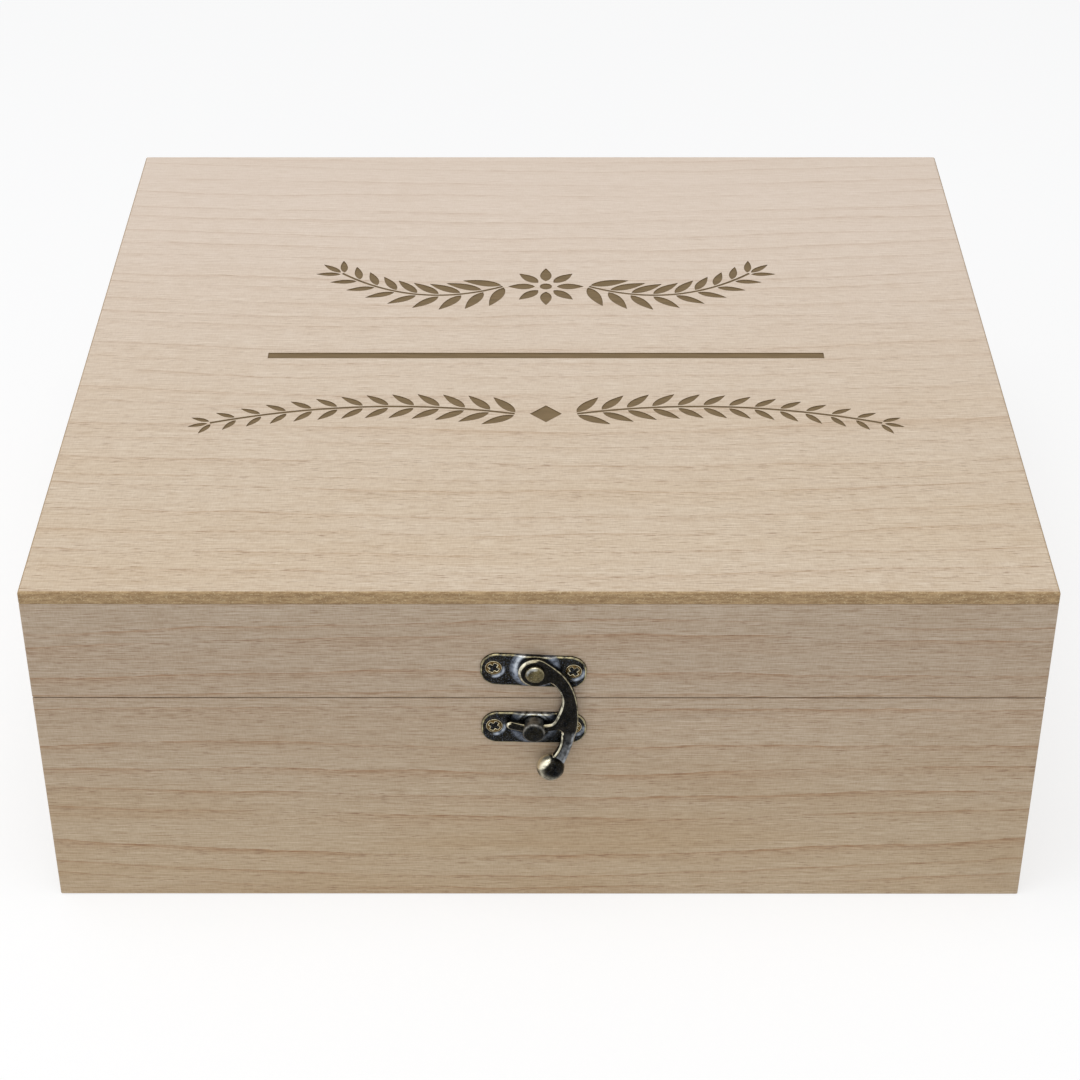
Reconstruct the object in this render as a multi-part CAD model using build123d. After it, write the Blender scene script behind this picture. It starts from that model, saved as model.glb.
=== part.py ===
from build123d import *
import math
import os

# Keepsake box: a wooden box with a hinged lid, held shut by a swing latch.
# Millimetres. The origin is on the table, under the middle of the wooden box.
# +X is to the right as seen from the front, +Y towards the hinges, +Z up.

# Wooden box and lid
box_width = 270.0
box_depth = 255.0
base_height = 70.0
lid_rail_height = 30.7
seam_gap = 0.3
wall_thickness = 9.0
top_panel_thickness = 4.0
bottom_thickness = 4.0
corner_rabbet = 4.5     # how deep the side boards are let into the front and back boards
bottom_rabbet = 4.5     # how deep the bottom board is let into the walls
corner_radius = 0.5
top_edge_radius = 0.9

# Cross-head wood screws
screw_length = 7.5
screw_point_length = 2.0
screw_shank_diameter = 2.0
screw_head_diameter = 4.4
screw_head_depth = 0.65
screw_head_crown = 0.2
cross_length = 2.5
cross_width = 0.6
cross_depth = 0.55
screw_clearance = 0.05

# Latch plates, pressed from sheet, with a raised round boss in the middle
plate_length = 28.2
plate_height = 10.2
plate_corner_radius = 4.5
plate_thickness = 0.8
plate_edge_radius = 0.25
boss_height = 0.5
boss_top_diameter = 9.8
boss_foot_diameter = 13.6
plate_hole_spacing = 21.2
plate_hole_rise = 0.4       # of the screw holes above the plate's middle
dimple_diameter = 6.6
dimple_depth = 0.3
upper_plate_x = -1.4
upper_plate_above_seam = 9.55
upper_plate_tilt = -3.3
lower_plate_x = -1.35
lower_plate_below_seam = 9.6
lower_plate_tilt = -1.0

# Rivet that the hook arm turns on
rivet_x = -1.0
rivet_above_seam = 10.8
rivet_shank_diameter = 2.4
rivet_head_diameter = 5.1
rivet_head_rim = 0.5
rivet_head_dome = 1.2
rivet_tail_diameter = 5.6
rivet_tail_thickness = 0.4
turning_clearance = 0.05

# Hook arm: an eye, a crescent, a tongue concentric with the rivet, and a ball to swing it by
arm_thickness = 1.9
arm_edge_bevel = 0.55
eye_diameter = 8.3
eye_drop = 0.4              # of the eye's outline below the rivet
shoulder_angle = 53.0       # where the crescent's outer edge leaves the eye
chin_angle = -73.0          # where its inner edge comes back to the eye
crescent_reach = 11.0       # from the rivet to the crescent's outermost edge
throat_reach = 7.1          # from the rivet to the crescent's inner edge
tongue_radius = 19.1
tongue_width = 2.4
tongue_tip_angle = 20.0
tongue_root_fillet = 1.3
waist_x = 8.8
waist_below_tongue = 0.65
waist_width = 3.3
neck_width = 2.75
neck_root_width = 3.4
neck_root_thickness = 2.3
ball_diameter = 6.9
ball_x = 4.15
ball_below_waist = 10.2
ball_gap = 0.65             # between the ball and the wood

# Slotted peg on the lower plate
peg_offset_x = -0.3     # from straight below the rivet
peg_diameter = 5.8
peg_length = 3.9
peg_edge_radius = 1.0
peg_shank_diameter = 4.4
peg_slot_clearance = 0.2

# Rear hinges
hinge_inset = 55.0          # from each side of the box to the hinge's middle
hinge_width = 30.0
leaf_height = 14.0
leaf_thickness = 1.0
leaf_corner_radius = 2.0
knuckle_diameter = 4.0
knuckle_count = 3
knuckle_gap = 0.15
knuckle_stand_off = 0.1
pin_diameter = 2.0
pin_clearance = 0.05
pin_head_diameter = 3.0
pin_head_length = 0.8
hinge_screw_spacing = 18.0
hinge_screw_distance = 8.5      # from the pin to the screws

# Levels and places that follow
front_y = -box_depth / 2
back_y = box_depth / 2
side_x = box_width / 2
seam_z = base_height + seam_gap / 2
lid_bottom_z = base_height + seam_gap
lid_top_panel_z = lid_bottom_z + lid_rail_height
rivet_z = seam_z + rivet_above_seam
peg_drop = math.sqrt(tongue_radius ** 2 - peg_offset_x ** 2)
tongue_outer = tongue_radius + tongue_width / 2
tongue_inner = tongue_radius - tongue_width / 2
waist_drop = tongue_outer + waist_below_tongue
ball_drop = waist_drop + ball_below_waist
boss_face = plate_thickness + boss_height
arm_back = boss_face + turning_clearance
arm_front = arm_back + arm_thickness
hinge_axis_off = knuckle_diameter / 2 + knuckle_stand_off
hinge_spacing = box_width - 2 * hinge_inset

on_base = (Align.CENTER, Align.CENTER, Align.MIN)
hanging = (Align.CENTER, Align.CENTER, Align.MAX)


def front_place(x, z, tilt=0.0):
    """Place on the front face: local x to the right, local y up, local z out of the wood."""
    return Pos(x, front_y, z) * Rot(90, 0, 0) * Rot(0, 0, tilt)


def back_place(x, z):
    """Place on the back face: local y up, local z out of the wood."""
    return Pos(x, back_y, z) * Rot(0, 0, 180) * Rot(90, 0, 0)


def save(shape, node):
    export_step(shape, os.path.join("parts", node + ".step"))


# Boards

def board(width, depth, height, x, y, z):
    """Board centred on x and y, standing on z."""
    return Pos(x, y, z) * Box(width, depth, height, align=on_base)


def ease_corners(panel):
    """Round the upright edges that lie on the outer corners of the box."""
    corners = [
        edge for edge in panel.edges().filter_by(Axis.Z)
        if abs(abs(edge.center().X) - side_x) < corner_radius
        and abs(abs(edge.center().Y) - back_y) < corner_radius
    ]
    return fillet(corners, corner_radius)


def frame_boards(height, z):
    """Four boards standing on z; the sides are let into the ends of the front and back."""
    side_length = box_depth - 2 * (wall_thickness - corner_rabbet)
    side_centre = side_x - wall_thickness / 2
    end_centre = back_y - wall_thickness / 2
    left = board(wall_thickness, side_length, height, -side_centre, 0, z)
    right = board(wall_thickness, side_length, height, side_centre, 0, z)
    front = board(box_width, wall_thickness, height, 0, -end_centre, z) - left - right
    back = board(box_width, wall_thickness, height, 0, end_centre, z) - left - right
    return {"front": ease_corners(front), "back": ease_corners(back), "left": left, "right": right}


def bottom_board():
    inset = wall_thickness - bottom_rabbet
    return board(box_width - 2 * inset, box_depth - 2 * inset, bottom_thickness, 0, 0, 0)


def top_board():
    panel = ease_corners(board(box_width, box_depth, top_panel_thickness, 0, 0, lid_top_panel_z))
    return fillet(panel.faces().sort_by(Axis.Z)[-1].outer_wire().edges(), top_edge_radius)


# Turned metal

def dome(radius, base, height):
    """Arc from the rim of a shallow dome up to its crown on the y axis."""
    sphere_radius = (radius ** 2 + height ** 2) / (2 * height)
    half_angle = math.asin(radius / sphere_radius) / 2
    centre = base + height - sphere_radius
    middle = (sphere_radius * math.sin(half_angle), centre + sphere_radius * math.cos(half_angle))
    return ThreePointArc((radius, base), middle, (0, base + height))


def turned(points, crown_height):
    """Solid of revolution about local z, from its lowest point out and up to a domed rim."""
    rim_radius, rim_level = points[-1]
    side = Polyline(*points)
    crown = dome(rim_radius, rim_level, crown_height)
    core = Line((0, rim_level + crown_height), points[0])
    return revolve(Plane.XZ * make_face([side, crown, core]), Axis.Z)


def screw_blank(clearance=0.0):
    """Screw with no cross, its head's rim at local z = 0; clearance grows it into its hole."""
    head = screw_head_diameter / 2 + clearance
    shank = screw_shank_diameter / 2 + clearance
    point = -screw_length - clearance
    outline = [(0, point), (shank, point + screw_point_length), (shank, -screw_head_depth), (head, 0)]
    return turned(outline, screw_head_crown + clearance)


def screw():
    slot = Box(cross_length, cross_width, cross_depth, align=hanging)
    cross = slot + Rot(0, 0, 90) * slot
    return screw_blank() - Pos(0, 0, screw_head_crown) * cross


def pair(spacing, y, z):
    """Local places of two screws, left and right of the middle."""
    return [Pos(side * spacing / 2, y, z) for side in (-1, 1)]


def rivet():
    """Domed head in front of the arm, shank, and a flat tail in the hollow behind the boss."""
    shank = rivet_shank_diameter / 2
    head = rivet_head_diameter / 2
    tail = rivet_tail_diameter / 2
    head_back = arm_front + turning_clearance
    tail_back = boss_height - rivet_tail_thickness
    outline = [(0, tail_back), (tail, tail_back), (tail, boss_height), (shank, boss_height),
               (shank, head_back), (head, head_back), (head, head_back + rivet_head_rim)]
    return turned(outline, rivet_head_dome)


def tongue_band(grow):
    """Ring about the rivet, as wide as the tongue and grown by a clearance on both sides."""
    return Circle(tongue_outer + grow) - Circle(tongue_inner - grow)


def peg():
    """Round peg seen from the rivet's place, slotted for the tongue to pass through."""
    shank = peg_shank_diameter / 2
    post = peg_diameter / 2
    tail = rivet_tail_diameter / 2
    tail_back = boss_height - rivet_tail_thickness
    tip = boss_face + peg_length
    outline = [(0, tail_back), (tail, tail_back), (tail, boss_height), (shank, boss_height),
               (shank, boss_face), (post, boss_face), (post, tip - peg_edge_radius)]
    side = Polyline(*outline)
    rounding = RadiusArc((post, tip - peg_edge_radius), (post - peg_edge_radius, tip), -peg_edge_radius)
    end = Polyline((post - peg_edge_radius, tip), (0, tip), (0, tail_back))
    body = revolve(Plane.XZ * make_face([side, rounding, end]), Axis.Z)
    slot_height = arm_front + peg_slot_clearance - boss_face
    slot = Pos(0, 0, boss_face) * extrude(tongue_band(peg_slot_clearance), slot_height)
    return Pos(peg_offset_x, -peg_drop, 0) * body - slot


# Latch plates

def latch_plate(shank_diameter, shank_centre):
    """Pressed plate with two dimpled screw holes and a raised boss, hollow behind.

    The boss goes round shank_centre, where a riveted shank comes through.
    """
    outline = RectangleRounded(plate_length, plate_height, plate_corner_radius)
    sheet = extrude(outline, plate_thickness)
    sheet = fillet(sheet.faces().sort_by(Axis.Z)[-1].outer_wire().edges(), plate_edge_radius)
    middle = Pos(shank_centre.X, shank_centre.Y, 0)
    foot = boss_foot_diameter / 2
    top = boss_top_diameter / 2
    boss = middle * Pos(0, 0, plate_thickness) * Cone(foot, top, boss_height, align=on_base)
    boss &= extrude(offset(outline, -plate_edge_radius), boss_face)
    hollow = middle * Cone(foot - plate_thickness, top - plate_thickness, boss_height, align=on_base)
    hole = middle * Cylinder(shank_diameter / 2, boss_face, align=on_base)
    plate = sheet + boss - hollow - hole
    head = screw_head_diameter / 2 + screw_clearance
    for place in pair(plate_hole_spacing, plate_hole_rise, plate_thickness - dimple_depth):
        plate -= place * Cone(head, dimple_diameter / 2, dimple_depth, align=on_base)
        plate -= place * screw_blank(screw_clearance)
    return plate


# Hook arm, seen from the rivet's place

def on_eye(angle):
    """Point on the eye's rim, angle degrees above +x, and the clockwise direction there."""
    turn = math.radians(angle)
    radius = eye_diameter / 2
    point = (radius * math.cos(turn), radius * math.sin(turn) - eye_drop)
    return point, (math.sin(turn), -math.cos(turn))


def arm_outline():
    """Eye, crescent and tongue in one flat outline, ending at the waist above the ball."""
    waist_left = waist_x - waist_width / 2
    waist_right = waist_x + waist_width / 2
    shoulder, shoulder_heading = on_eye(shoulder_angle)
    chin, chin_heading = on_eye(chin_angle)
    # Points of the two long curves, as shares of their reach and of the drop to the tongue
    outer_shares = [(0.66, 0.09), (0.95, 0.50), (1.0, 0.81)]
    inner_shares = [(0.82, 0.785), (1.0, 0.555), (0.89, 0.33), (0.58, 0.193)]
    outer_points = [(crescent_reach * x, -tongue_radius * y) for x, y in outer_shares]
    inner_points = [(throat_reach * x, -tongue_radius * y) for x, y in inner_shares]
    root = (0.44 * throat_reach, -tongue_inner)
    hip = (waist_right, -waist_drop)
    outer = Spline(shoulder, *outer_points, hip, tangents=[shoulder_heading, (-0.2, -1)])
    waist = Polyline(hip, (waist_left, -waist_drop), (waist_left, -tongue_inner), root)
    inner = Spline(root, *inner_points, chin, tangents=[(1, 0.2), chin_heading])
    closing = Polyline(chin, (0, 0), shoulder)
    crescent = make_face([outer, waist, inner, closing])
    outline = Pos(0, -eye_drop) * Circle(eye_diameter / 2) + crescent + tongue_outline(waist_left)
    corner = (waist_left, -math.sqrt(tongue_outer ** 2 - waist_left ** 2))
    return fillet(outline.vertices().sort_by_distance(corner)[0], tongue_root_fillet)


def tongue_outline(right):
    """Band about the rivet from its round tip, left of the peg, to x = right."""
    angle = math.radians(tongue_tip_angle)
    tip = (-tongue_radius * math.sin(angle), -tongue_radius * math.cos(angle))
    sector = make_face(Polyline((0, 0), (2 * tip[0], 2 * tip[1]), (right, 2 * tip[1]), (right, 0), (0, 0)))
    return (tongue_band(0) & sector) + Pos(*tip) * Circle(tongue_width / 2)


def neck():
    """Lower end of the arm, curving down, to the left and forward from the waist into the ball."""
    waist = Vector(waist_x, -waist_drop, (arm_back + arm_front) / 2)
    ball = Vector(ball_x, -ball_drop, ball_diameter / 2 + ball_gap)
    reach = ball - waist
    # Shares of the way from the waist to the ball along x, y and z, then the width and thickness
    stations = [
        ((0.0, 0.0, 0.0), waist_width, arm_thickness),
        ((0.07, 0.27, 0.06), neck_width, arm_thickness),
        ((0.27, 0.53, 0.32), neck_width, (arm_thickness + neck_root_thickness) / 2),
        ((0.57, 0.77, 0.68), neck_root_width, neck_root_thickness),
    ]
    centres = [waist + Vector(x * reach.X, y * reach.Y, z * reach.Z) for (x, y, z), _, _ in stations]
    centres.append(ball)
    headings = [Vector(0, -1, 0)]
    headings += [centres[index + 1] - centres[index - 1] for index in range(1, len(stations))]
    sections = []
    for centre, heading, (_, width, thickness) in zip(centres, headings, stations):
        plane = Plane(origin=centre, x_dir=Vector(-heading.Y, heading.X, 0), z_dir=heading)
        sections.append(plane * RectangleRounded(width, thickness, arm_edge_bevel))
    return loft(sections)


def hook_arm():
    flat = extrude(arm_outline(), arm_thickness)
    rim = flat.faces().sort_by(Axis.Z)[-1].outer_wire().edges()
    waist_and_rest = rim.sort_by(Axis.Y)
    flat = chamfer(waist_and_rest[1:], arm_edge_bevel)
    eye = Cylinder(rivet_shank_diameter / 2 + turning_clearance, arm_thickness, align=on_base)
    ball = Pos(ball_x, -ball_drop, ball_diameter / 2 + ball_gap) * Sphere(ball_diameter / 2)
    return Pos(0, 0, arm_back) * (flat - eye) + neck() + ball


# Rear hinges, seen from behind with local y up from the pin's level

def knuckles(parity, radius, length):
    """Cylinders along the pin for every other knuckle, starting at the first or the second."""
    pitch = hinge_width / knuckle_count
    start = -hinge_width / 2 + pitch / 2
    barrel = Pos(0, 0, hinge_axis_off) * Rot(0, 90, 0) * Cylinder(radius, length)
    return [Pos(start + pitch * index, 0, 0) * barrel
            for index in range(parity, knuckle_count, 2)]


def hinge_leaf(side, parity):
    """One leaf: side is +1 for the lid's, above the pin, and -1 for the lower box's."""
    pitch = hinge_width / knuckle_count
    knuckle = knuckle_diameter / 2
    rounded = RectangleRounded(hinge_width, leaf_height, leaf_corner_radius)
    flat = Pos(0, side * leaf_height / 2, 0) * rounded
    straight = Pos(0, side * leaf_height / 4, 0) * Rectangle(hinge_width, leaf_height / 2)
    leaf = extrude(flat + straight, leaf_thickness)
    relief = Box(pitch + knuckle_gap, 2 * (knuckle + knuckle_gap), 2 * leaf_thickness)
    start = -hinge_width / 2 + pitch / 2
    for index in range(1 - parity, knuckle_count, 2):
        leaf -= Pos(start + pitch * index, 0, leaf_thickness / 2) * relief
    for barrel in knuckles(parity, knuckle, pitch - knuckle_gap):
        leaf += barrel
    bore = Cylinder(pin_diameter / 2 + pin_clearance, 2 * hinge_width)
    leaf -= Pos(0, 0, hinge_axis_off) * Rot(0, 90, 0) * bore
    for place in pair(hinge_screw_spacing, side * hinge_screw_distance, leaf_thickness):
        leaf -= place * screw_blank(screw_clearance)
    return leaf


def hinge_pin():
    """Plain pin with a flat head at each end of the barrel."""
    shaft = Cylinder(pin_diameter / 2, hinge_width + pin_head_length)
    head = Cylinder(pin_head_diameter / 2, pin_head_length)
    offset_x = (hinge_width + pin_head_length) / 2
    pin = shaft + Pos(0, 0, offset_x) * head + Pos(0, 0, -offset_x) * head
    return Pos(0, 0, hinge_axis_off) * Rot(0, 90, 0) * pin


# Assembly

def screw_group(place, spots):
    """Screws of one plate or leaf, and the holes that they need in the wood."""
    screws = Compound([place * spot * screw() for spot in spots])
    holes = [place * spot * screw_blank(screw_clearance) for spot in spots]
    return screws, holes


def main():
    os.makedirs("parts", exist_ok=True)
    base = frame_boards(base_height, 0)
    lid = frame_boards(lid_rail_height, lid_bottom_z)
    bottom = bottom_board()

    # Swing latch
    at_rivet = front_place(rivet_x, rivet_z)
    upper_place = front_place(upper_plate_x, seam_z + upper_plate_above_seam, upper_plate_tilt)
    lower_place = front_place(lower_plate_x, seam_z - lower_plate_below_seam, lower_plate_tilt)
    save(at_rivet * hook_arm(), "latch_arm")
    save(at_rivet * rivet(), "latch_rivet")
    save(at_rivet * peg(), "latch_peg")
    spots = pair(plate_hole_spacing, plate_hole_rise, plate_thickness - dimple_depth)
    plates = [
        ("upper", upper_place, at_rivet, rivet_shank_diameter, lid),
        ("lower", lower_place, at_rivet * Pos(peg_offset_x, -peg_drop, 0), peg_shank_diameter, base),
    ]
    for name, place, centre, shank_diameter, wood in plates:
        shank = place.inverse() * centre
        save(place * latch_plate(shank_diameter, shank.position), f"latch_{name}_plate")
        screws, holes = screw_group(place, spots)
        save(screws, f"latch_{name}_screws")
        for hole in holes:
            wood["front"] -= hole

    # Rear hinges; the left one is on the left as seen from the front
    for name, side in (("left", -1), ("right", 1)):
        place = back_place(side * hinge_spacing / 2, seam_z)
        save(place * hinge_leaf(-1, 0), f"hinge_{name}_base_leaf")
        save(place * hinge_leaf(1, 1), f"hinge_{name}_lid_leaf")
        save(place * hinge_pin(), f"hinge_{name}_pin")
        for owner, direction, wood in (("base", -1, base), ("lid", 1, lid)):
            leaf_spots = pair(hinge_screw_spacing, direction * hinge_screw_distance, leaf_thickness)
            screws, holes = screw_group(place, leaf_spots)
            save(screws, f"hinge_{name}_{owner}_screws")
            for hole in holes:
                wood["back"] -= hole

    # Boards, with the screw holes in them
    save(bottom, "base_bottom_panel")
    save(top_board(), "lid_top_panel")
    for name, panel in base.items():
        save(panel - bottom, f"base_{name}_panel")
    for name, rail in lid.items():
        save(rail, f"lid_{name}_rail")


main()
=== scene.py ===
import math

import bmesh
import bpy
import numpy as np
from mathutils import Matrix, Vector


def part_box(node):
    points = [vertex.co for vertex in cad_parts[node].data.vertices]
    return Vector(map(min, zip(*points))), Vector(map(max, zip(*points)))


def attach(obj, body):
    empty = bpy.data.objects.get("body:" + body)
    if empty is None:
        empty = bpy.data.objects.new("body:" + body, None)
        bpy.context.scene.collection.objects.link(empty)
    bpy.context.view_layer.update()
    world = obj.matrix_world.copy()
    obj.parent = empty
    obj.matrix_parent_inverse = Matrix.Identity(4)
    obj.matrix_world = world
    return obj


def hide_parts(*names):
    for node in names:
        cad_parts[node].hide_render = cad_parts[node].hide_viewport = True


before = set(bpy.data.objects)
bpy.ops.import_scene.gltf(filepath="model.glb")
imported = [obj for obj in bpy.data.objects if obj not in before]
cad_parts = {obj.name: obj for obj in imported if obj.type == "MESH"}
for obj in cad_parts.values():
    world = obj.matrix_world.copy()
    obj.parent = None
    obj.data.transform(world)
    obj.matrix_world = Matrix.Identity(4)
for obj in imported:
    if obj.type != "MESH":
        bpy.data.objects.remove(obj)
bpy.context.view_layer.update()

mm = 0.001
scene = bpy.context.scene
scene.view_settings.view_transform = "Standard"
print("frame loaded:", len(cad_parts), "nodes")


# sRGB hex to the linear colour that the shaders take
def linearColour(hexText):
    channels = [int(hexText[place:place + 2], 16) / 255 for place in (0, 2, 4)]
    return tuple(c / 12.92 if c <= 0.04045 else ((c + 0.055) / 1.055) ** 2.4 for c in channels) + (1.0,)


# one node with its settings; an input is linked from a socket or from a node's first live output, else set
def addNode(tree, kind, inputs=None, **settings):
    node = tree.nodes.new(kind)
    for name, value in settings.items():
        setattr(node, name, value)
    for name, value in (inputs or {}).items():
        if isinstance(value, bpy.types.Node):
            value = next(socket for socket in value.outputs if socket.enabled)
        if isinstance(value, bpy.types.NodeSocket):
            tree.links.new(value, node.inputs[name])
        else:
            node.inputs[name].default_value = value
    return node


def newMaterial(name):
    material = bpy.data.materials.new(name)
    material.use_nodes = True
    material.node_tree.nodes.clear()
    return material, material.node_tree


# empty node group with its sockets named
def newGroup(name, treeKind, inputs, outputs):
    tree = bpy.data.node_groups.new(name, treeKind)
    for direction, sockets in (("INPUT", inputs), ("OUTPUT", outputs)):
        for label, kind in sockets.items():
            tree.interface.new_socket(label, in_out=direction, socket_type=f"NodeSocket{kind}")
    return tree, addNode(tree, "NodeGroupInput").outputs


# the bmesh as a new mesh
def meshFrom(bm, name):
    mesh = bpy.data.meshes.new(name)
    bm.to_mesh(mesh)
    bm.free()
    return mesh


def newObject(name, mesh):
    piece = bpy.data.objects.new(name, mesh)
    scene.collection.objects.link(piece)
    return piece


def addModifier(piece, name, kind, **settings):
    modifier = piece.modifiers.new(name, kind)
    for key, value in settings.items():
        setattr(modifier, key, value)
    return modifier


# the object with its modifiers worked into a plain mesh
def settleMesh(piece):
    graph = bpy.context.evaluated_depsgraph_get()
    mesh = bpy.data.meshes.new_from_object(piece.evaluated_get(graph), depsgraph=graph)
    mesh.name = piece.name
    piece.modifiers.clear()
    piece.data = mesh
    return piece


# the mesh that a geometry tree makes of another, with the tree's named inputs set by socket identifier
def grownPiece(name, mesh, tree, values):
    piece = newObject(name, mesh)
    modifier = addModifier(piece, name, "NODES", node_group=tree)
    for item in tree.interface.items_tree:
        if item.in_out == "INPUT" and item.name in values:
            modifier[item.identifier] = values[item.name]
    return settleMesh(piece)


# last nodes of a geometry tree: instances made real, one material, the output
def closeTree(tree, geometry, finish):
    real = addNode(tree, "GeometryNodeRealizeInstances", {"Geometry": geometry})
    finished = addNode(tree, "GeometryNodeSetMaterial", {"Geometry": real, "Material": finish})
    addNode(tree, "NodeGroupOutput", {"Geometry": finished})
    return tree


# last nodes of a material: its bump, as deep as told in mm, the surface and the output
def closeMaterial(material, colour, roughness, height, strength, depth, metallic=0.0):
    tree = material.node_tree
    bump = addNode(tree, "ShaderNodeBump", {"Height": height, "Strength": strength, "Distance": depth * mm})
    shader = addNode(tree, "ShaderNodeBsdfPrincipled", {"Base Color": colour, "Roughness": roughness,
            "Metallic": metallic, "Normal": bump})
    addNode(tree, "ShaderNodeOutputMaterial", {"Surface": shader})
    return material


# materials of None keep those that the faces already carry
def finishPiece(piece, body, materials, replaced):
    if materials:
        piece.data.materials.clear()
        for material in materials:
            piece.data.materials.append(material)
    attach(piece, body)
    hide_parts(*replaced)


def middleOf(node):
    low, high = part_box(node)
    return (low + high) / 2


# the frame's own triangles, merged, as a new mesh
def mergedCopy(name, node):
    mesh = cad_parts[node].data.copy()
    mesh.name = name
    bm = bmesh.new()
    bm.from_mesh(mesh)
    bmesh.ops.remove_doubles(bm, verts=bm.verts, dist=0.001 * mm)
    bm.to_mesh(mesh)
    bm.free()
    return mesh


# socket label of a setting, such as Ring Spacing for ringSpacing
def socketLabel(key):
    return "".join(" " + letter if letter.isupper() else letter for letter in key).title()


def socketKinds(look):
    kinds = {str: "Color", tuple: "Vector"}
    return {socketLabel(key): kinds.get(type(value), "Float") for key, value in look.items()}


def socketValues(look):
    return {socketLabel(key): linearColour(value) if isinstance(value, str) else value
            for key, value in look.items()}


cameraPlace = {
    "location": (0.00167, -0.6515, 0.48267),
    "downDegrees": 34.591,
    "turnDegrees": 0.142,
    "rollDegrees": -0.0675,
    "lens": 83.31,
    "sensorWidth": 36,
}


def makeCamera(place):
    data = bpy.data.cameras.new("boxCamera")
    data.lens = place["lens"]
    data.sensor_width = place["sensorWidth"]
    camera = newObject("boxCamera", data)
    turn = Matrix.Rotation(math.radians(place["turnDegrees"]), 4, "Z")
    tilt = Matrix.Rotation(math.radians(90 - place["downDegrees"]), 4, "X")
    roll = Matrix.Rotation(math.radians(place["rollDegrees"]), 4, "Z")
    camera.matrix_world = Matrix.Translation(place["location"]) @ turn @ tilt @ roll
    scene.camera = camera


studio = {
    "floorSize": 12.0,
    "floorSegments": 8,
    "floorGap": 0.1 * mm,           # below the box, so that the two never share a plane
    "floorForLight": "e4e2df",
    "floorForCamera": "a2a3a5",     # the camera sees darker paper with light added, so its shadow is soft
    "floorAdded": 0.655,
    "skyForLight": 0.44,
    "skyForCamera": 1.0,            # what the camera and reflections see
    "lamps": {
        # name: (place, aim, size x, size y, watts, colour)
        "overheadSoftbox": ((-0.15, -0.35, 1.65), (0.0, -0.03, 0.05), 1.5, 1.1, 15.0, "fffdf9"),
        "leftSoftbox": ((-1.3, -0.9, 0.9), (0.0, -0.1, 0.06), 0.8, 0.8, 2.2, "f6f9ff"),
        "frontSoftbox": ((0.35, -1.9, 0.55), (0.0, -0.13, 0.03), 1.2, 0.6, 3.5, "ffffff"),
    },
}


# 1 for the rays that should see the white studio: camera, glossy and transmission rays
def seenRay(tree):
    path = addNode(tree, "ShaderNodeLightPath").outputs
    either = addNode(tree, "ShaderNodeMath", {0: path["Is Camera Ray"], 1: path["Is Glossy Ray"]},
            operation="MAXIMUM")
    return addNode(tree, "ShaderNodeMath", {0: either, 1: path["Is Transmission Ray"]}, operation="MAXIMUM")


def makeFloor(look):
    bm = bmesh.new()
    segments = look["floorSegments"]
    bmesh.ops.create_grid(bm, x_segments=segments, y_segments=segments, size=look["floorSize"] / 2)
    mesh = meshFrom(bm, "studioFloor")
    floor = newObject("studioFloor", mesh)
    floor.location.z = -look["floorGap"]
    material, tree = newMaterial("matt pale paper")
    paper = addNode(tree, "ShaderNodeBsdfDiffuse", {"Color": linearColour(look["floorForLight"])})
    darker = addNode(tree, "ShaderNodeBsdfDiffuse", {"Color": linearColour(look["floorForCamera"])})
    added = addNode(tree, "ShaderNodeEmission", {"Strength": look["floorAdded"]})
    seen = addNode(tree, "ShaderNodeAddShader", {0: darker, 1: added})
    mixed = addNode(tree, "ShaderNodeMixShader", {0: seenRay(tree), 1: paper, 2: seen})
    addNode(tree, "ShaderNodeOutputMaterial", {"Surface": mixed})
    mesh.materials.append(material)


def makeLight(look):
    world = bpy.data.worlds.new("studio sky")
    world.use_nodes = True
    scene.world = world
    tree = world.node_tree
    tree.nodes.clear()
    white = (1, 1, 1, 1)
    forLight = addNode(tree, "ShaderNodeBackground", {"Color": white, "Strength": look["skyForLight"]})
    forCamera = addNode(tree, "ShaderNodeBackground", {"Color": white, "Strength": look["skyForCamera"]})
    mixed = addNode(tree, "ShaderNodeMixShader", {0: seenRay(tree), 1: forLight, 2: forCamera})
    addNode(tree, "ShaderNodeOutputWorld", {"Surface": mixed})
    for name, (place, aim, sizeX, sizeY, watts, colour) in look["lamps"].items():
        data = bpy.data.lights.new(name, "AREA")
        data.shape = "RECTANGLE"
        data.size = sizeX
        data.size_y = sizeY
        data.energy = watts
        data.color = linearColour(colour)[:3]
        lamp = newObject(name, data)
        toAim = Vector(aim) - Vector(place)
        lamp.matrix_world = Matrix.Translation(place) @ toAim.to_track_quat("-Z", "Y").to_matrix().to_4x4()


makeCamera(cameraPlace)
makeFloor(studio)
makeLight(studio)
print("camera, floor and light done")


# Paulownia, sawn, sanded and left bare. The eye gets a pale matt board with thin broken brown growth
# lines, short dark pores, and a fine weave of fibres and rays.
bareWood = {
    "pale": "bfab90",
    "warm": "b39977",
    "far": "b3a18e",            # tone toward the far side of the board
    "farFrom": 5.0,             # mm across the board where that tone starts and where it is full
    "farTo": 85.0,
    "farShare": 0.8,
    "line": "9a6d3f",
    "pore": "7f5c40",
    "endGrain": "b0926c",
    "ringSpacing": 8.0,
    "bow": 6.5,                 # mm that the lines sink in the middle of the board
    "bowFall": -0.1,            # less of it for each mm across
    "wander": 8.5,
    "lineShare": 0.52,
    "poreShare": 0.60,
    "poreFall": 0.0,            # fewer pores for each mm across
    "fibreContrast": 1.0,
    "fibreFall": 0.0,           # more or less contrast for each mm across
    "bandShare": 0.6,
    "edgePale": "b2966f",       # colours of the cut edges round a broad board
    "edgeDark": "8f734e",
    "edgeSpeck": "cab793",
    "roughness": 0.56,
    "shift": (0.0, 0.0, 0.0),   # mm, so that no two boards are cut from one place
}

shaderOutputs = {"Color": "Color", "Roughness": "Float", "Height": "Float"}
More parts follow.
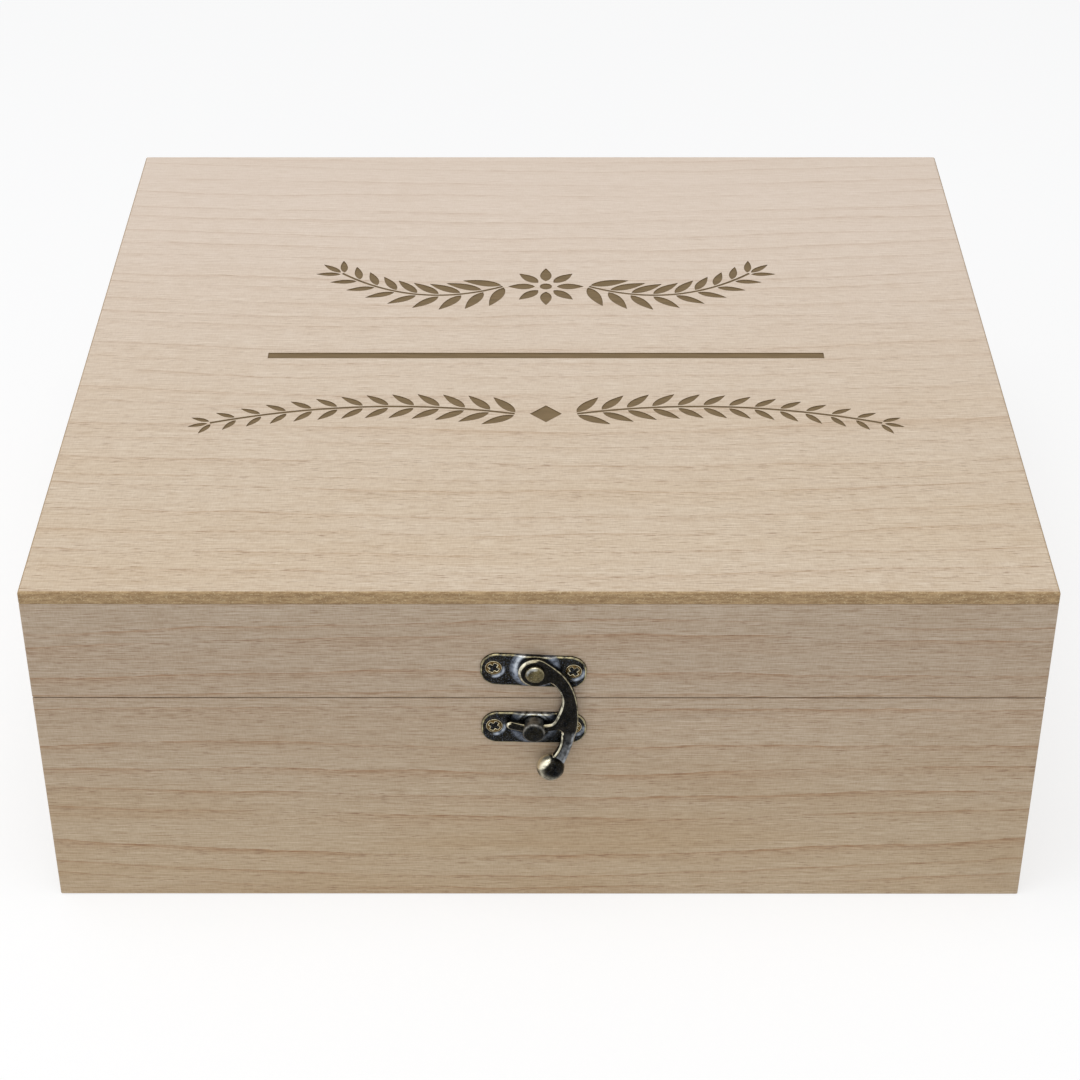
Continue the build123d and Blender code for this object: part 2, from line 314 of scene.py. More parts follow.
# sizes in mm along the grain, across it and into the board, detail and roughness of the noise; for some also
# the levels where what it shows starts and is full, and its share there
woodPatterns = {
    "wander": (110, 26, 60, 2.0, 0.5),
    "ripple": (24, 7, 14, 2.0, 0.5),
    "ragged": (5.0, 1.0, 1.1, 1.0, 0.5),
    "fade": (45, 5, 10, 2.0, 0.5, 0.24, 0.60, 1.0),
    "pore": (4.0, 0.30, 0.34, 1.0, 0.6),     # real pores are 0.2 mm, drawn 0.3 mm so that they show
    "dash": (6.0, 0.26, 0.30, 1.0, 0.6),
    "fibre": (30, 0.42, 0.50, 2.0, 0.65),
    "ray": (0.34, 1.8, 2.4, 0.0, 0.5),
    "band": (130, 14, 40, 2.0, 0.5, 0.34, 0.66, 1.0),
    "swirl": (2.6, 1.0, 0.55, 4.0, 0.72, 0.36, 0.64, 1.0),
    "speck": (0.45, 0.45, 0.4, 1.0, 0.5, 0.56, 0.72, 0.6),
}
growth = {
    "halfWidth": 135.0,         # mm from the middle of a board to where the bow ends
    "slant": 0.6,               # mm across for each mm into the board
    "ripple": 1.4,              # mm that small waves move a line
    "ragged": 0.6,
    "crowdSize": 15.0,          # mm over which rings crowd together and spread
    "crowdReach": 16.0,
    "sharpPower": 15.0,         # higher is a thinner line
    "softPower": 3.5,
    "softShare": 0.40,
    "finePower": 7.0,
    "fineShare": 0.22,
    "fineCount": 3.3,           # fine rings to each ring
    "dashLevels": (0.62, 0.38),     # noise where a line is least and most drawn, and how strongly it is there
    "dashShares": (0.25, 1.1),
    "nearLine": 0.09,           # how far pores gather near the lines
    "poreLevels": (0.60, 0.78),
    "poreHeight": -0.8,
    "grainMean": 0.77,          # what is taken off so that fibres, dashes and rays lighten as much as darken
    "grainShares": {"dash": 0.80, "fibre": 0.60, "ray": 0.18},
    "grainTint": (0.75, 1.0, 1.3),          # red, green and blue, so that what is darker is browner
    "grainRoughness": 0.3,
    "endShare": 0.5,            # sawn ends drink in light and look darker
    "edgeGrain": 0.5,
}
# how straight a face looks along an axis where it starts to be a sawn end or a cut edge, and fully is one
endLevels = (0.45, 0.9)
cutLevels = (0.995, 0.75)
woodBump = (0.35, 0.06)         # strength, mm


def makeWoodGroup(look):
    kinds = dict(socketKinds(bareWood), **{"Grain Place": "Vector", "End Share": "Float",
            "Edge Share": "Float"})
    tree, given = newGroup("sawn paulownia", "ShaderNodeTree", kinds, shaderOutputs)
    shifted = addNode(tree, "ShaderNodeVectorMath", {0: given["Grain Place"], 1: given["Shift"]},
            operation="ADD")
    pattern = {}
    for name, (along, across, into, detail, roughness, *levels) in woodPatterns.items():
        scaled = addNode(tree, "ShaderNodeVectorMath", {0: shifted, 1: (1 / along, 1 / across, 1 / into)},
                operation="MULTIPLY")
        pattern[name] = addNode(tree, "ShaderNodeTexNoise", {"Vector": scaled, "Scale": 1.0, "Detail": detail,
                "Roughness": roughness})
        if levels:
            pattern[name] = addNode(tree, "ShaderNodeMapRange", {"Value": pattern[name],
                    "From Min": levels[0], "From Max": levels[1], "To Max": levels[2]},
                    interpolation_type="SMOOTHSTEP")
    parts = addNode(tree, "ShaderNodeSeparateXYZ", {0: given["Grain Place"]}).outputs

    # growth rings: the distance across the board, bowed and wandering, folded into ring after ring
    fromMiddle = addNode(tree, "ShaderNodeMath", {0: parts["X"], 1: look["halfWidth"]}, operation="DIVIDE")
    squared = addNode(tree, "ShaderNodeMath", {0: fromMiddle, 1: fromMiddle}, operation="MULTIPLY")
    middle = addNode(tree, "ShaderNodeMath", {0: 1.0, 1: squared}, operation="SUBTRACT")
    bow = addNode(tree, "ShaderNodeMath", {0: parts["Y"], 1: given["Bow Fall"], 2: given["Bow"]},
            operation="MULTIPLY_ADD")
    place = parts["Y"]
    for source, reach in ((middle, bow), (parts["Z"], look["slant"]), (pattern["wander"], given["Wander"]),
            (pattern["ripple"], look["ripple"]), (pattern["ragged"], look["ragged"])):
        place = addNode(tree, "ShaderNodeMath", {0: source, 1: reach, 2: place}, operation="MULTIPLY_ADD")
    crowd = addNode(tree, "ShaderNodeMath", {0: place, 1: look["crowdSize"]}, operation="DIVIDE")
    crowd = addNode(tree, "ShaderNodeTexNoise", {"W": crowd, "Scale": 1.0, "Detail": 1.0},
            noise_dimensions="1D")
    place = addNode(tree, "ShaderNodeMath", {0: crowd, 1: look["crowdReach"], 2: place},
            operation="MULTIPLY_ADD")
    rings = addNode(tree, "ShaderNodeMath", {0: place, 1: given["Ring Spacing"]}, operation="DIVIDE")
    fineRings = addNode(tree, "ShaderNodeMath", {0: rings, 1: look["fineCount"]}, operation="MULTIPLY")
    ring, fineRing = [addNode(tree, "ShaderNodeMath", {0: count}, operation="FRACT")
            for count in (rings, fineRings)]
    powers = ((ring, "sharpPower"), (ring, "softPower"), (fineRing, "finePower"))
    sharpLine, softLine, fineLine = [addNode(tree, "ShaderNodeMath", {0: turn, 1: look[power]},
            operation="POWER") for turn, power in powers]

    # the lines fade in and out, and break into dashes
    broken = addNode(tree, "ShaderNodeMapRange", {"Value": pattern["dash"], "From Min": look["dashLevels"][0],
            "From Max": look["dashLevels"][1], "To Min": look["dashShares"][0],
            "To Max": look["dashShares"][1]})
    lines = addNode(tree, "ShaderNodeMath", {0: sharpLine, 1: broken}, operation="MULTIPLY")
    for line, share in ((softLine, look["softShare"]), (fineLine, look["fineShare"])):
        lines = addNode(tree, "ShaderNodeMath", {0: line, 1: share, 2: lines}, operation="MULTIPLY_ADD")
    lines = addNode(tree, "ShaderNodeMath", {0: lines, 1: pattern["fade"]}, operation="MULTIPLY")
    lines = addNode(tree, "ShaderNodeMath", {0: lines, 1: given["Line Share"]}, operation="MULTIPLY",
            use_clamp=True)

    # pores gather near the lines
    poreLevel = addNode(tree, "ShaderNodeMath", {0: softLine, 1: look["nearLine"], 2: pattern["pore"]},
            operation="MULTIPLY_ADD")
    pores = addNode(tree, "ShaderNodeMapRange", {"Value": poreLevel, "From Min": look["poreLevels"][0],
            "From Max": look["poreLevels"][1]}, interpolation_type="SMOOTHSTEP")
    poreShare = addNode(tree, "ShaderNodeMath", {0: parts["Y"], 1: given["Pore Fall"],
            2: given["Pore Share"]}, operation="MULTIPLY_ADD", use_clamp=True)
    poreShare = addNode(tree, "ShaderNodeMath", {0: pores, 1: poreShare}, operation="MULTIPLY")

    bandShare = addNode(tree, "ShaderNodeMath", {0: pattern["band"], 1: given["Band Share"]},
            operation="MULTIPLY")
    far = addNode(tree, "ShaderNodeMapRange", {"Value": parts["Y"], "From Min": given["Far From"],
            "From Max": given["Far To"], "To Max": given["Far Share"]}, interpolation_type="SMOOTHSTEP")
    colour = given["Pale"]
    for share, tone in ((bandShare, "Warm"), (far, "Far"), (lines, "Line"), (poreShare, "Pore")):
        colour = addNode(tree, "ShaderNodeMix", {0: share, 6: colour, 7: given[tone]}, data_type="RGBA")

    # fibres, dashes and rays lighten and darken it about a mean of 1
    grain = -look["grainMean"]
    for name, share in look["grainShares"].items():
        grain = addNode(tree, "ShaderNodeMath", {0: pattern[name], 1: share, 2: grain},
                operation="MULTIPLY_ADD")
    contrast = addNode(tree, "ShaderNodeMath", {0: parts["Y"], 1: given["Fibre Fall"],
            2: given["Fibre Contrast"]}, operation="MULTIPLY_ADD")
    contrast = addNode(tree, "ShaderNodeMath", {0: grain, 1: contrast}, operation="MULTIPLY")
    channels = [addNode(tree, "ShaderNodeMath", {0: contrast, 1: share, 2: 1.0}, operation="MULTIPLY_ADD")
            for share in look["grainTint"]]
    light = addNode(tree, "ShaderNodeCombineColor", dict(enumerate(channels)))
    colour = addNode(tree, "ShaderNodeMix", {0: 1.0, 6: colour, 7: light}, data_type="RGBA",
            blend_type="MULTIPLY")
    endShare = addNode(tree, "ShaderNodeMath", {0: given["End Share"], 1: look["endShare"]},
            operation="MULTIPLY")
    colour = addNode(tree, "ShaderNodeMix", {0: endShare, 6: colour, 7: given["End Grain"]}, data_type="RGBA")

    # a cut edge shows swirled brown with pale specks
    edge = given["Edge Pale"]
    for name, tone in (("swirl", "Edge Dark"), ("speck", "Edge Speck")):
        edge = addNode(tree, "ShaderNodeMix", {0: pattern[name], 6: edge, 7: given[tone]}, data_type="RGBA")
    edge = addNode(tree, "ShaderNodeMix", {0: look["edgeGrain"], 6: edge, 7: light}, data_type="RGBA",
            blend_type="MULTIPLY")
    colour = addNode(tree, "ShaderNodeMix", {0: given["Edge Share"], 6: colour, 7: edge}, data_type="RGBA")

    rough = addNode(tree, "ShaderNodeMath", {0: grain, 1: look["grainRoughness"], 2: given["Roughness"]},
            operation="MULTIPLY_ADD")
    height = addNode(tree, "ShaderNodeMath", {0: pores, 1: look["poreHeight"], 2: grain},
            operation="MULTIPLY_ADD")
    addNode(tree, "NodeGroupOutput", {"Color": colour, "Roughness": rough, "Height": height})
    return tree


# axes: of the object, along the grain, across it and into the board; cut is the axis that cut edges lean from
def makeWood(name, axes, group, changes, cut=None):
    material, tree = newMaterial(name)
    place = addNode(tree, "ShaderNodeTexCoord").outputs
    inMm = addNode(tree, "ShaderNodeVectorMath", {0: place["Object"], 1: (1 / mm, 1 / mm, 1 / mm)},
            operation="MULTIPLY")
    parts = addNode(tree, "ShaderNodeSeparateXYZ", {0: inMm}).outputs
    facing = addNode(tree, "ShaderNodeSeparateXYZ", {0: place["Normal"]}).outputs
    grain = addNode(tree, "ShaderNodeCombineXYZ", {number: parts[axis] for number, axis in enumerate(axes)})
    inputs = dict(socketValues(dict(bareWood, **changes)), **{"Grain Place": grain})
    for label, axis, (start, full) in (("End Share", axes[0], endLevels), ("Edge Share", cut, cutLevels)):
        if axis is None:
            continue
        along = addNode(tree, "ShaderNodeMath", {0: facing[axis]}, operation="ABSOLUTE")
        inputs[label] = addNode(tree, "ShaderNodeMapRange", {"Value": along, "From Min": start,
                "From Max": full}, interpolation_type="SMOOTHSTEP")
    wood = addNode(tree, "ShaderNodeGroup", inputs, node_tree=group).outputs
    return closeMaterial(material, wood["Color"], wood["Roughness"], wood["Height"], *woodBump)


woodGroup = makeWoodGroup(growth)
upright = {"fibreContrast": 1.1, "fibreFall": 0.003}
# for each upright board: axes, and the shift that cuts it from a place of its own
boardCuts = {
    "front": ("XZY", (0.0, 0.0, 0.0)),
    "back": ("XZY", (410.0, 35.0, 90.0)),
    "left": ("YZX", (700.0, 11.0, 60.0)),
    "right": ("YZX", (950.0, 62.0, 20.0)),
}
woods = {}
for side, (axes, shift) in boardCuts.items():
    changes = dict(upright, shift=shift)
    woods[side] = makeWood(f"paulownia {side} board, sanded", axes, woodGroup, changes)
woods["bottom"] = makeWood("paulownia bottom board, sanded", "XYZ", woodGroup, {"shift": (120.0, 310.0, 5.0)})
# the lid board's far tone is paler, so that it grows lighter toward the back: painted light
woods["top"] = makeWood("paulownia lid board, sanded, edges cut", "XYZ", woodGroup, {
    "pale": "cebca6", "warm": "c8b296", "far": "decec0", "farFrom": -110.0, "farTo": 110.0, "farShare": 0.9,
    "bow": 5.0, "bowFall": 0.0, "ringSpacing": 9.0, "wander": 12.0, "lineShare": 0.30, "line": "a67d52",
    "poreShare": 0.34, "poreFall": -0.0028, "fibreContrast": 0.78, "fibreFall": -0.0024, "bandShare": 0.35,
}, cut="Z")

# Laser-burnt hollows in the lid: flat brown char, a little streaked by the grain under it.
burnt = {
    "brown": "7b6646",
    "dark": "6a5739",
    "streak": (9.0, 0.9, 1.0),      # mm
    "streakLevels": (0.35, 0.68),
    "roughness": 0.72,
    "bump": (0.3, 0.08),
}


def makeBurntWood(name, look):
    material, tree = newMaterial(name)
    place = addNode(tree, "ShaderNodeTexCoord").outputs
    scales = tuple(1 / (size * mm) for size in look["streak"])
    scaled = addNode(tree, "ShaderNodeVectorMath", {0: place["Object"], 1: scales}, operation="MULTIPLY")
    streaks = addNode(tree, "ShaderNodeTexNoise", {"Vector": scaled, "Scale": 1.0, "Detail": 3.0,
            "Roughness": 0.6})
    share = addNode(tree, "ShaderNodeMapRange", {"Value": streaks, "From Min": look["streakLevels"][0],
            "From Max": look["streakLevels"][1]})
    colour = addNode(tree, "ShaderNodeMix", {0: share, 6: linearColour(look["brown"]),
            7: linearColour(look["dark"])}, data_type="RGBA")
    return closeMaterial(material, colour, look["roughness"], streaks, *look["bump"])


burntWood = makeBurntWood("paulownia, laser-burnt", burnt)

board = {
    "flatAngle": 1,     # degrees
    "arris": 0.28,      # mm that the sharp edges are eased
    "steps": 2,
    "sharpAngle": 50,
}


# a board's own mesh: the frame's triangles merged into flat faces and its sharp edges eased
def shapeBoard(name, node):
    mesh = mergedCopy(name, node)
    piece = newObject(name, mesh)
    bm = bmesh.new()
    bm.from_mesh(mesh)
    flatAngle = math.radians(board["flatAngle"])
    bmesh.ops.dissolve_limit(bm, angle_limit=flatAngle, verts=bm.verts, edges=bm.edges)
    bm.to_mesh(mesh)
    bm.free()
    addModifier(piece, "eased arrises", "BEVEL", width=board["arris"] * mm, segments=board["steps"],
            limit_method="ANGLE", angle_limit=math.radians(board["sharpAngle"]))
    return settleMesh(piece)


for side in ("front", "back", "left", "right"):
    for body, part in (("base", "panel"), ("lid", "rail")):
        node = f"{body}_{side}_{part}"
        finishPiece(shapeBoard(f"{body}Board.{side}", node), body, [woods[side]], [node])
finishPiece(shapeBoard("baseBoard.bottom", "base_bottom_panel"), "base", [woods["bottom"]],
        ["base_bottom_panel"])
print("boards done")

# The lid's engraving: one plain rule, and plain leaf sprigs about it.
engraving = {
    "middleX": 1.9,             # mm
    "depth": 0.25,
    "rule": (165.7, 3.24, -7.0),            # length, height, middle y
    "leafWidth": 0.30,          # share of the leaf's length
    "stemWidth": 0.9,
    "stemGap": 0.35,            # wood left between stem and leaf
    "stemSteps": 28,
    "sprigs": [
        # start, middle and end of the right stem, leaf pairs, leaf length, share of it at the tip, spread
        ((13.5, 35.5), (40.0, 21.0), (64.0, 44.0), 9, 12.5, 0.62, 42.0),
        ((9.0, -40.0), (52.0, -30.0), (96.0, -45.0), 13, 10.5, 0.55, 40.0),
    ],
    "petals": 8,
    "petalStart": 3.4,
    "petalLength": 8.4,
    "petalWidth": 3.6,
    "rosette": (0.0, 35.5),
    "rosetteEye": 1.9,
    "eyeSides": 32,
    "diamond": (0.0, -40.0, 4.6),
}


# a leaf's outline from its start to its tip along x, widest before the middle
def leafOutline(start, length, width, steps=12, lean=0.8, fullness=0.9):
    upper = []
    for step in range(1, steps):
        share = step / steps
        upper.append((start + length * share, width / 2 * math.sin(math.pi * share ** lean) ** fullness))
    return [(start, 0.0)] + upper + [(start + length, 0.0)] + [(x, -y) for x, y in reversed(upper)]


def addPrism(bm, outline, low, high):
    bottom = [bm.verts.new((x, y, low)) for x, y in outline]
    top = [bm.verts.new((x, y, high)) for x, y in outline]
    bm.faces.new(list(reversed(bottom)))
    bm.faces.new(top)
    for index in range(len(outline)):
        after = (index + 1) % len(outline)
        bm.faces.new((bottom[index], bottom[after], top[after], top[index]))


# tree: a stem along a bent line with leaves on both sides, falling in size to a leaf at its tip
def makeSprigTree(steps):
    tree, given = newGroup("leaf sprig", "GeometryNodeTree", {
        "Geometry": "Geometry", "Leaf": "Object", "Start": "Vector", "Middle": "Vector", "End": "Vector",
        "Leaf Pairs": "Int", "Leaf Length": "Float", "Tip Share": "Float", "Spread": "Float",
        "Stem Width": "Float", "Stem Gap": "Float", "Thickness": "Float", "Finish": "Material",
    }, {"Geometry": "Geometry"})
    curve = addNode(tree, "GeometryNodeCurveQuadraticBezier", {"Start": given["Start"], "Resolution": steps,
            "Middle": given["Middle"], "End": given["End"]})
    points = addNode(tree, "GeometryNodeCurveToPoints", {0: curve, "Count": given["Leaf Pairs"]})
    leaf = addNode(tree, "GeometryNodeObjectInfo", {"Object": given["Leaf"]}).outputs["Geometry"]
    index = addNode(tree, "GeometryNodeInputIndex")
    last = addNode(tree, "ShaderNodeMath", {0: given["Leaf Pairs"], 1: 1.0}, operation="SUBTRACT")
    size = addNode(tree, "ShaderNodeMapRange", {"Value": index, "From Min": 0.0, "From Max": last,
            "To Min": 1.0, "To Max": given["Tip Share"]})
    size = addNode(tree, "ShaderNodeMath", {0: size, 1: given["Leaf Length"]}, operation="MULTIPLY")
    scale = addNode(tree, "ShaderNodeCombineXYZ", {"X": size, "Y": size, "Z": given["Thickness"]})
    tangent = addNode(tree, "ShaderNodeSeparateXYZ", {0: points.outputs["Tangent"]}).outputs
    heading = addNode(tree, "ShaderNodeMath", {0: tangent["Y"], 1: tangent["X"]}, operation="ARCTAN2")
    halfStem = addNode(tree, "ShaderNodeMath", {0: given["Stem Width"], 1: 0.5, 2: given["Stem Gap"]},
            operation="MULTIPLY_ADD")
    leaves = []
    for side in (1, -1):
        across = addNode(tree, "ShaderNodeMath", {0: halfStem, 1: float(side)}, operation="MULTIPLY")
        sideways = addNode(tree, "ShaderNodeVectorMath", {0: (0, 0, 1), 1: points.outputs["Tangent"]},
                operation="CROSS_PRODUCT")
        offset = addNode(tree, "ShaderNodeVectorMath", {0: sideways, "Scale": across}, operation="SCALE")
        moved = addNode(tree, "GeometryNodeSetPosition", {"Geometry": points.outputs["Points"],
                "Offset": offset})
        angle = addNode(tree, "ShaderNodeMath", {0: given["Spread"], 1: float(side), 2: heading},
                operation="MULTIPLY_ADD")
        turn = addNode(tree, "ShaderNodeCombineXYZ", {"Z": angle})
        leaves.append(addNode(tree, "GeometryNodeInstanceOnPoints", {"Points": moved, "Instance": leaf,
                "Rotation": turn, "Scale": scale}))
    isTip = addNode(tree, "FunctionNodeCompare", {0: index, 1: last}, operation="GREATER_EQUAL")
    ahead = addNode(tree, "ShaderNodeVectorMath", {0: points.outputs["Tangent"], "Scale": halfStem},
            operation="SCALE")
    tip = addNode(tree, "GeometryNodeSetPosition", {"Geometry": points.outputs["Points"], "Offset": ahead})
    leaves.append(addNode(tree, "GeometryNodeInstanceOnPoints", {
        "Points": tip, "Selection": isTip, "Instance": leaf, "Scale": scale,
        "Rotation": addNode(tree, "ShaderNodeCombineXYZ", {"Z": heading})}))
    profile = addNode(tree, "GeometryNodeCurvePrimitiveQuadrilateral", {"Width": given["Stem Width"],
            "Height": given["Thickness"]})
    level = addNode(tree, "GeometryNodeSetCurveNormal", {"Curve": curve}, mode="Z_UP")
    stem = addNode(tree, "GeometryNodeCurveToMesh", {"Curve": level, "Profile Curve": profile,
            "Fill Caps": True})
    join = addNode(tree, "GeometryNodeJoinGeometry")
    for part in (stem, *leaves):
        tree.links.new(part.outputs[0], join.inputs[0])
    return closeTree(tree, join, given["Finish"])


# everything to be cut from the lid, as one mesh of closed shapes standing through its surface
def makeCutters(look, surfaceZ):
    middleX = look["middleX"]
    cut = bmesh.new()
    length, height, middleY = look["rule"]
    corners = ((-1, -1), (1, -1), (1, 1), (-1, 1))
    outlines = [[(x * length / 2, middleY + y * height / 2) for x, y in corners]]
    roseX, roseY = look["rosette"]
    for petal in range(look["petals"]):
        turn = Matrix.Rotation(2 * math.pi * petal / look["petals"], 2)
        petalOutline = leafOutline(look["petalStart"], look["petalLength"], look["petalWidth"])
        turned = [turn @ Vector(point) for point in petalOutline]
        outlines.append([(roseX + x, roseY + y) for x, y in turned])
    for roundX, roundY, radius, sides in ((roseX, roseY, look["rosetteEye"], look["eyeSides"]),
            (*look["diamond"], 4)):
        angles = [2 * math.pi * side / sides for side in range(sides)]
        outlines.append([(roundX + radius * math.cos(angle), roundY + radius * math.sin(angle))
                for angle in angles])
    for outline in outlines:
        addPrism(cut, [(middleX + x, y) for x, y in outline], -1.0, 1.0)
    bm = bmesh.new()
    addPrism(bm, leafOutline(0.0, 1.0, look["leafWidth"]), -0.5, 0.5)
    leaf = newObject("leaf", meshFrom(bm, "leaf"))
    sprigTree = makeSprigTree(look["stemSteps"])
    for side in (1, -1):
        for *stem, pairs, leafLength, tipShare, spread in look["sprigs"]:
            corners = zip(("Start", "Middle", "End"), stem)
            values = {label: (middleX + side * x, y, 0.0) for label, (x, y) in corners}
            sprig = grownPiece("sprig", bpy.data.meshes.new("sprig"), sprigTree, dict(values, **{
                "Leaf": leaf, "Leaf Pairs": pairs, "Leaf Length": leafLength, "Tip Share": tipShare,
                "Spread": math.radians(spread), "Stem Width": look["stemWidth"], "Stem Gap": look["stemGap"],
                "Thickness": 2.0, "Finish": burntWood}))
            cut.from_mesh(sprig.data)
            bpy.data.objects.remove(sprig)
    bpy.data.objects.remove(leaf)
    for vertex in cut.verts:
        vertex.co.x *= mm
        vertex.co.y *= mm
        vertex.co.z = surfaceZ + math.copysign(look["depth"] * mm, vertex.co.z)
    bmesh.ops.recalc_face_normals(cut, faces=cut.faces)
    mesh = meshFrom(cut, "engravingCutters")
    mesh.materials.append(burntWood)
    return newObject("engravingCutters", mesh)


lidTop = shapeBoard("lidBoard.top", "lid_top_panel")
lidTop.data.materials.clear()
lidTop.data.materials.append(woods["top"])
cutters = makeCutters(engraving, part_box("lid_top_panel")[1].z)
addModifier(lidTop, "engraving", "BOOLEAN", operation="DIFFERENCE", solver="EXACT", material_mode="TRANSFER",
        object=cutters)
settleMesh(lidTop)
bpy.data.objects.remove(cutters)
finishPiece(lidTop, "lid", None, ["lid_top_panel"])
print("engraving done:", len(lidTop.data.polygons), "faces in the lid board")

# Antique brass: brass-plated metal blackened in a bath, then rubbed so that raised edges shine through.
# The eye gets near-black mottled faces, cream-gold rims, and painted light: a grey painted sheen on walls and
# pressed slopes, and painted highlights where the light catches.
antiqueBrass = {
    "patina": "060709",
    "mottle": "17181b",
    "fleck": "6a7486",
    "olive": "575039",
    "rim": "b3a983",
    "rubbed": "d3dae0",         # painted highlight colour, also for the painted whiter rims that face the light on the left
    "slope": "7f8796",
    "slopeShare": 0.0,          # how far walls that lean away from the front get the grey painted sheen
    "oliveShare": 0.10,
    "coolShare": 0.0,           # how far rims that face left are painted whiter, a painted highlight from the light on the left
    "rimStart": 0.35,           # sharpness of an edge, in 1/mm, where the rubbing starts
    "rimFull": 1.3,
    "mottleSize": 0.9,          # mm
    "patinaRoughness": 0.40,
    "rimRoughness": 0.32,
}

wear = {
    "recess": "020202",         # near black, painted deep in each screw's cross
    "recessRoughness": 0.9,
    "speckleShare": 0.35,
    "fleckShare": 0.55,
    "noiseRoughness": 0.55,
    "leastWear": 0.25,
    # how far a face looks to the front, or to the right, where each mask starts and is full: leaning for the
    # grey painted sheen, toFront for rim wear, toLeft for the painted highlight on rims that face left
    "leaning": (0.98, 0.6),
    "toFront": (0.10, 0.45),
    "toLeft": (0.0, -0.5),
    "bump": (0.2, 0.03),        # strength, mm
}

# size as a share of the mottle size, detail, and the levels of the noise where a patch starts and is full
brassPatches = {
    "blotch": (2.2, 3.0, 0.42, 0.66),
    "speckle": (0.35, 2.0, 0.52, 0.72),
    "fleck": (0.38, 2.0, 0.55, 0.68),
    "worn": (1.5, 3.0, 0.30, 0.62),
}


# the pattern alone; edgeBend, the grey painted sheen marked by pressed, the painted highlights and the dark
# of recess are painted on each mesh as it is made
def makeBrassGroup(look):
    tree, given = newGroup("antique brass", "ShaderNodeTree", socketKinds(antiqueBrass), shaderOutputs)
    place = addNode(tree, "ShaderNodeTexCoord").outputs
    patches = {}
    for name, (share, detail, low, high) in brassPatches.items():
        size = addNode(tree, "ShaderNodeMath", {0: given["Mottle Size"], 1: share * mm}, operation="MULTIPLY")
        scale = addNode(tree, "ShaderNodeMath", {0: 1.0, 1: size}, operation="DIVIDE")
        moved = addNode(tree, "ShaderNodeVectorMath", {0: place["Object"], 1: (share, 2 * share, 0.0)},
                operation="ADD")
        noise = addNode(tree, "ShaderNodeTexNoise", {"Vector": moved, "Scale": scale, "Detail": detail,
                "Roughness": look["noiseRoughness"]})
        patches[name] = addNode(tree, "ShaderNodeMapRange", {"Value": noise, "From Min": low,
                "From Max": high}, interpolation_type="SMOOTHSTEP")
    colour = addNode(tree, "ShaderNodeMix", {0: patches["blotch"], 6: given["Patina"], 7: given["Mottle"]},
            data_type="RGBA")
    for name, share, tone in (("speckle", look["speckleShare"], "Olive"), ("fleck", look["fleckShare"],
            "Fleck"), ("worn", given["Olive Share"], "Olive")):
        share = addNode(tree, "ShaderNodeMath", {0: patches[name], 1: share}, operation="MULTIPLY")
        colour = addNode(tree, "ShaderNodeMix", {0: share, 6: colour, 7: given[tone]}, data_type="RGBA")

    painted = {name: addNode(tree, "ShaderNodeAttribute", attribute_name=name).outputs["Fac"]
            for name in ("edgeBend", "pressed", "rubbed", "recess")}

    # what leans away from the front, and what the pressed attribute marks, gets a grey painted sheen
    facing = addNode(tree, "ShaderNodeSeparateXYZ", {0: place["Normal"]}).outputs
    flat = addNode(tree, "ShaderNodeMath", {0: facing["Y"]}, operation="ABSOLUTE")
    leaning, toFront = [addNode(tree, "ShaderNodeMapRange", {"Value": flat, "From Min": start,
            "From Max": full}, interpolation_type="SMOOTHSTEP") for start, full in (look["leaning"],
            look["toFront"])]
    slope = addNode(tree, "ShaderNodeMath", {0: leaning, 1: given["Slope Share"], 2: painted["pressed"]},
            operation="MULTIPLY_ADD", use_clamp=True)
    uneven = addNode(tree, "ShaderNodeMapRange", {"Value": patches["worn"], "To Min": look["leastWear"]})
    slope = addNode(tree, "ShaderNodeMath", {0: slope, 1: uneven}, operation="MULTIPLY")

    # rims are rubbed where the front can be reached; those that face the light on the left are painted
    # whiter, a painted highlight
    rim = addNode(tree, "ShaderNodeMapRange", {"Value": painted["edgeBend"], "From Min": given["Rim Start"],
            "From Max": given["Rim Full"]}, interpolation_type="SMOOTHSTEP")
    for share in (uneven, toFront):
        rim = addNode(tree, "ShaderNodeMath", {0: rim, 1: share}, operation="MULTIPLY")
    toLeft = addNode(tree, "ShaderNodeMapRange", {"Value": facing["X"], "From Min": look["toLeft"][0],
            "From Max": look["toLeft"][1], "To Max": given["Cool Share"]}, interpolation_type="SMOOTHSTEP")
    rimColour = addNode(tree, "ShaderNodeMix", {0: toLeft, 6: given["Rim"], 7: given["Rubbed"]},
            data_type="RGBA")
    rubbed = addNode(tree, "ShaderNodeMath", {0: painted["rubbed"], 1: uneven}, operation="MULTIPLY",
            use_clamp=True)
    for share, tone in ((slope, given["Slope"]), (rim, rimColour), (rubbed, given["Rubbed"]),
            (painted["recess"], linearColour(look["recess"]))):
        colour = addNode(tree, "ShaderNodeMix", {0: share, 6: colour, 7: tone}, data_type="RGBA")
    wearAndHighlight = addNode(tree, "ShaderNodeMath", {0: rim, 1: rubbed}, operation="MAXIMUM")
    rough = given["Patina Roughness"]
    for share, level in ((wearAndHighlight, given["Rim Roughness"]), (painted["recess"], look["recessRoughness"])):
        rough = addNode(tree, "ShaderNodeMix", {0: share, 2: rough, 3: level}, data_type="FLOAT")
    addNode(tree, "NodeGroupOutput", {"Color": colour, "Roughness": rough, "Height": patches["speckle"]})
    return tree


def makeBrass(name, group, changes):
    material, tree = newMaterial(name)
    brass = addNode(tree, "ShaderNodeGroup", socketValues(dict(antiqueBrass, **changes)),
            node_tree=group).outputs
    return closeMaterial(material, brass["Color"], brass["Roughness"], brass["Height"], *wear["bump"], 1.0)


